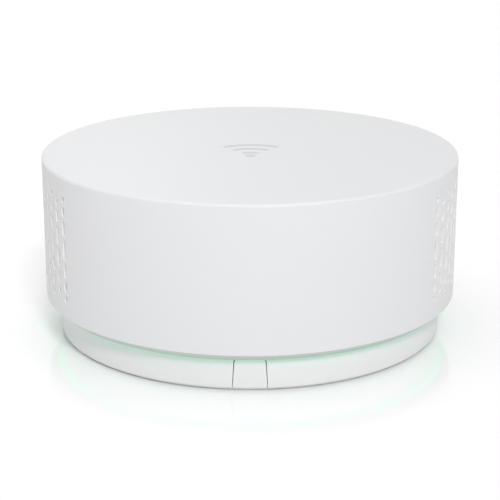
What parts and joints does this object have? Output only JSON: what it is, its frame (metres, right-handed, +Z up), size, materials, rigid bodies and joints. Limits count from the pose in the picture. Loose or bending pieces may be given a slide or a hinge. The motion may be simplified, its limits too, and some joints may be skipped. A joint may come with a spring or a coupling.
{
  "type": "mesh wifi node",
  "caption": "Low round drum on a slightly smaller ring base, with slotted vents in both sides, a glowing ring under its edge and a small cable door in front.",
  "frame": {"origin": "middle of the footprint, on the surface the node stands on", "axes": "+Z up through the drum; the cable door faces -Y, so +X is its right side seen from the front"},
  "size_m": [0.12, 0.12, 0.0525],
  "materials": {
    "white_plastic": "fine satin moulded surface",
    "light_guide": "frosted light guide, lit green",
    "foot_rubber": "matt non-slip rubber",
    "inner_plastic": "moulded, matt",
    "board_green": "solder mask over glass-epoxy laminate",
    "board_white": "white solder mask",
    "chip_black": "moulded epoxy",
    "tinned_steel": "bright tin plate",
    "bare_aluminium": "bare, as extruded",
    "gold_contact": "gold-flashed spring wire",
    "screw_steel": "zinc plated",
    "coax_jacket": "extruded jacket",
    "thermal_rubber": "soft filled silicone",
    "screen_mesh": "fine woven screen",
    "label_film": "printed film, left blank",
    "led_lens": "moulded lens over a lamp"
  },
  "bodies": {
    "mount": {"mount_base": "white_plastic", "foot_ring": "foot_rubber"},
    "drum": {"top_shell": "white_plastic", "bottom_cover": "white_plastic", "light_ring": "light_guide", "rating_label": "label_film", "dust_screen_left": "screen_mesh", "dust_screen_right": "screen_mesh", "led_board": "board_white", "led_ribbon": "coax_jacket", "main_board": "board_green", "processor_chip": "chip_black", "memory_chip_1": "chip_black", "memory_chip_2": "chip_black", "flash_chip": "chip_black", "ethernet_magnetics": "chip_black", "power_transformer": "chip_black", "power_inductor": "chip_black", "reset_switch": "chip_black", "thermal_pad": "thermal_rubber", "radio_shield_1": "tinned_steel", "radio_shield_2": "tinned_steel", "power_jack_pin": "tinned_steel", "bulk_capacitor_1": "bare_aluminium", "bulk_capacitor_2": "bare_aluminium", "heat_sink": "bare_aluminium", "ethernet_jack": "inner_plastic", "power_jack": "inner_plastic", "antenna_frame": "inner_plastic", "ethernet_contacts": "gold_contact", "led_1": "led_lens", "led_2": "led_lens", "led_3": "led_lens", "led_4": "led_lens", "led_5": "led_lens", "led_6": "led_lens", "led_7": "led_lens", "led_8": "led_lens", "antenna_1": "board_green", "antenna_lead_1": "coax_jacket", "cover_screw_1": "screw_steel", "board_screw_1": "screw_steel", "antenna_2": "board_green", "antenna_lead_2": "coax_jacket", "cover_screw_2": "screw_steel", "board_screw_2": "screw_steel", "antenna_3": "board_green", "antenna_lead_3": "coax_jacket", "cover_screw_3": "screw_steel", "board_screw_3": "screw_steel", "antenna_4": "board_green", "antenna_lead_4": "coax_jacket", "cover_screw_4": "screw_steel", "board_screw_4": "screw_steel", "heat_sink_screw_1": "screw_steel", "heat_sink_screw_2": "screw_steel"},
    "door": {"cable_door": "white_plastic"},
    "reset": {"reset_plunger": "inner_plastic", "reset_switch_cap": "white_plastic"}
  },
  "joints": [
    {"name": "twist_lock", "type": "hinge", "parent": "mount", "child": "drum", "pos_m": [0, 0, 0], "axis": [0, 0, 1], "range_deg": [0, 15]},
    {"name": "door_pull", "type": "slide", "parent": "mount", "child": "door", "axis": [0, -1, 0], "range_m": [0, 0.012]},
    {"name": "reset_press", "type": "slide", "parent": "drum", "child": "reset", "axis": [0, 0, 1], "range_m": [0, 0.0005], "stiffness_N_per_m": 2500}
  ]
}
